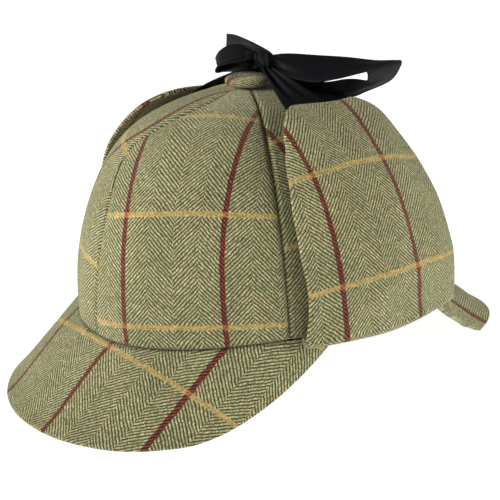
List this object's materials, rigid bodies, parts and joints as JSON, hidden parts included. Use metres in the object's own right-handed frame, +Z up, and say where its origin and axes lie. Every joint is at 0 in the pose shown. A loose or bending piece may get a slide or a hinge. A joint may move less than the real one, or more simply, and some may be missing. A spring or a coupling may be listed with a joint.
{
  "type": "deerstalker hat",
  "caption": "Tweed deerstalker hat with front and back peaks and ear flaps folded up and tied over the crown with a black ribbon bow.",
  "frame": {"origin": "middle of the hat's footprint, on the floor that the edges of its two peaks stand on", "axes": "+Z up, -Y to the front peak, +X to the wearer's left"},
  "size_m": [0.1944, 0.299, 0.177],
  "materials": {
    "tweed": "matte herringbone wool with a windowpane check",
    "lining": "matte dark cloth",
    "ribbon": "soft ribbed ribbon"
  },
  "bodies": {
    "root": {"crown_panel_front_left": "tweed", "crown_panel_front_right": "tweed", "crown_panel_side_left": "tweed", "crown_panel_side_right": "tweed", "crown_panel_back_left": "tweed", "crown_panel_back_right": "tweed", "crown_button": "tweed", "front_peak": "tweed", "back_peak": "tweed", "ear_flap_left": "tweed", "ear_flap_right": "tweed", "ribbon_tie_left": "ribbon", "ribbon_tie_right": "ribbon", "ribbon_knot": "ribbon", "ribbon_loop_long": "ribbon", "ribbon_loop_short": "ribbon", "ribbon_tail_right": "ribbon", "ribbon_tail_back": "ribbon"}
  },
  "joints": []
}
